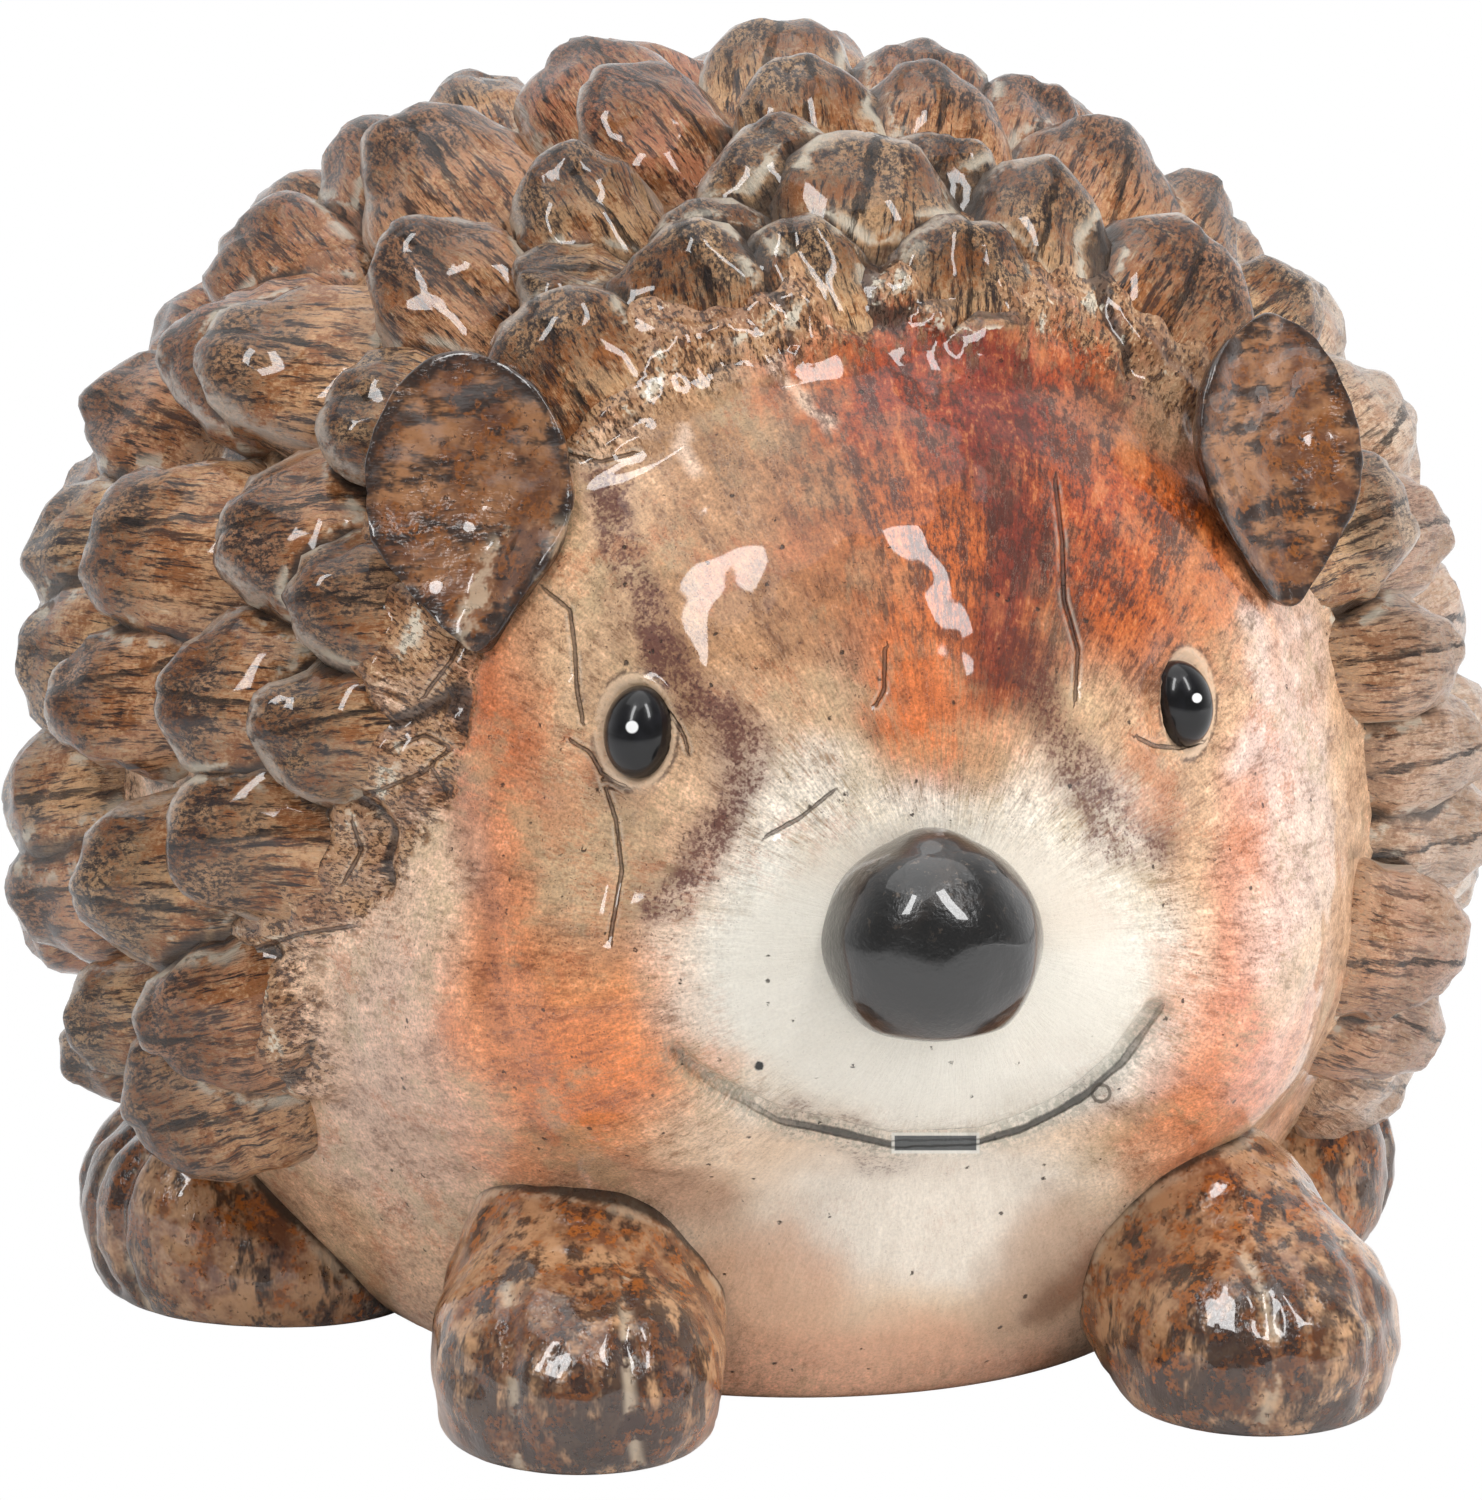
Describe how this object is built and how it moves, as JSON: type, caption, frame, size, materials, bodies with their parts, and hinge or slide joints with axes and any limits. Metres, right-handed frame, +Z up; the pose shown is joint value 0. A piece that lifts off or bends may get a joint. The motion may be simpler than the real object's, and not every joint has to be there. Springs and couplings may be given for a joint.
{
  "type": "hedgehog figurine",
  "caption": "Glazed ceramic hedgehog ornament with a round hollow body, ball nose, dished ears, stout paws and rows of fat lapping quills.",
  "frame": {"origin": "on the ground under the middle of the figurine, halfway between the nose and the rump", "axes": "+Z up; the face looks along -Y; +X is the hedgehog's own left"},
  "size_m": [0.1432, 0.1589, 0.1205],
  "materials": {
    "face_glaze": "cream and orange hand-painted gloss glaze",
    "muzzle_glaze": "off-white gloss glaze",
    "black_glaze": "black gloss glaze",
    "ear_glaze": "speckled brown gloss glaze",
    "paw_glaze": "mottled dark brown gloss glaze",
    "quill_glaze": "brown gloss glaze, dark at the tips"
  },
  "bodies": {
    "root": {"body_shell": "face_glaze", "muzzle_pad": "muzzle_glaze", "nose": "black_glaze", "left_eye": "black_glaze", "right_eye": "black_glaze", "left_ear": "ear_glaze", "right_ear": "ear_glaze", "left_front_paw": "paw_glaze", "right_front_paw": "paw_glaze", "left_hind_paw": "paw_glaze", "right_hind_paw": "paw_glaze", "quill_row_01": "quill_glaze", "quill_row_02": "quill_glaze", "quill_row_03": "quill_glaze", "quill_row_04": "quill_glaze", "quill_row_05": "quill_glaze", "quill_row_06": "quill_glaze", "quill_row_07": "quill_glaze", "quill_row_08": "quill_glaze", "quill_row_09": "quill_glaze", "quill_row_10": "quill_glaze", "quill_row_11": "quill_glaze", "quill_row_12": "quill_glaze"}
  },
  "joints": []
}
